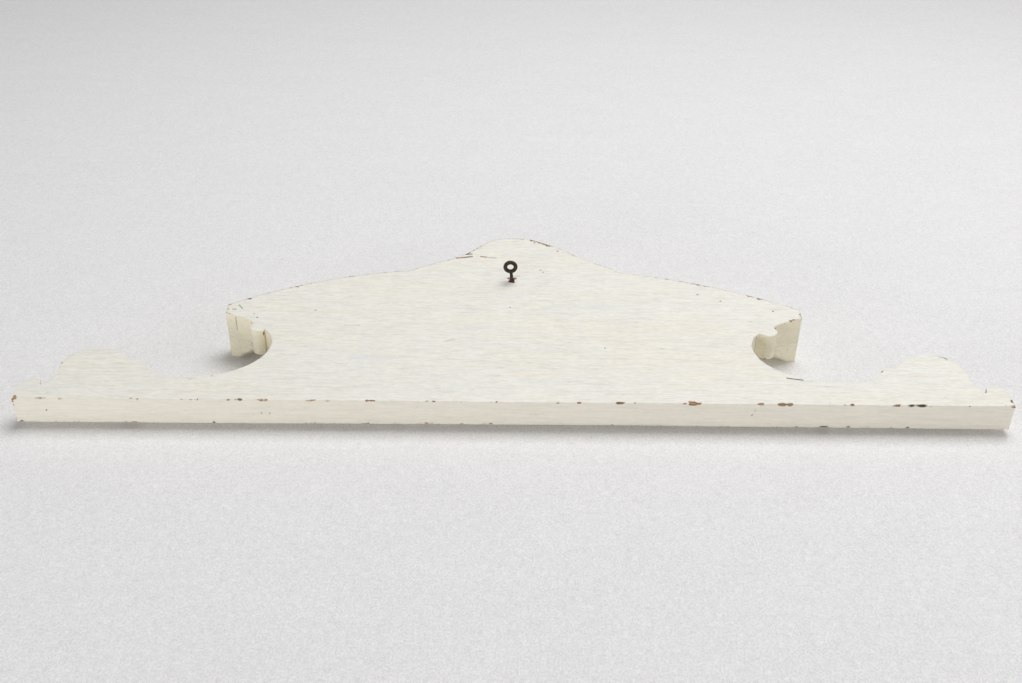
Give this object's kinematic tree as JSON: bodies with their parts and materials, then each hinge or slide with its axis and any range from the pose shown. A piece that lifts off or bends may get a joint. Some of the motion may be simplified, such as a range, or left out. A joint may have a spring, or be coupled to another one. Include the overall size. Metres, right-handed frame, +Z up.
{
  "type": "wooden pediment",
  "caption": "Scroll-sawn pediment board in old off-white paint, with a moulded crown along its arched top and an iron screw eye in its back for hanging.",
  "frame": {"origin": "on the flat back face, on the centre line, 150 mm above the straight lower edge", "axes": "+Z up to the crest, +X along the length, +Y out of the back towards the wall; the moulded front faces -Y"},
  "size_m": [1, 0.0845, 0.31],
  "materials": {
    "old_white_paint": "matt off-white brushed paint, thin and worn to brown wood along the arrises",
    "cream_paint": "matt cream paint, darker and browner in the hollows",
    "rusty_iron": "dark rusted iron wire"
  },
  "bodies": {
    "root": {"back_board": "old_white_paint", "crown_moulding": "cream_paint", "screw_eye": "rusty_iron"}
  },
  "joints": []
}
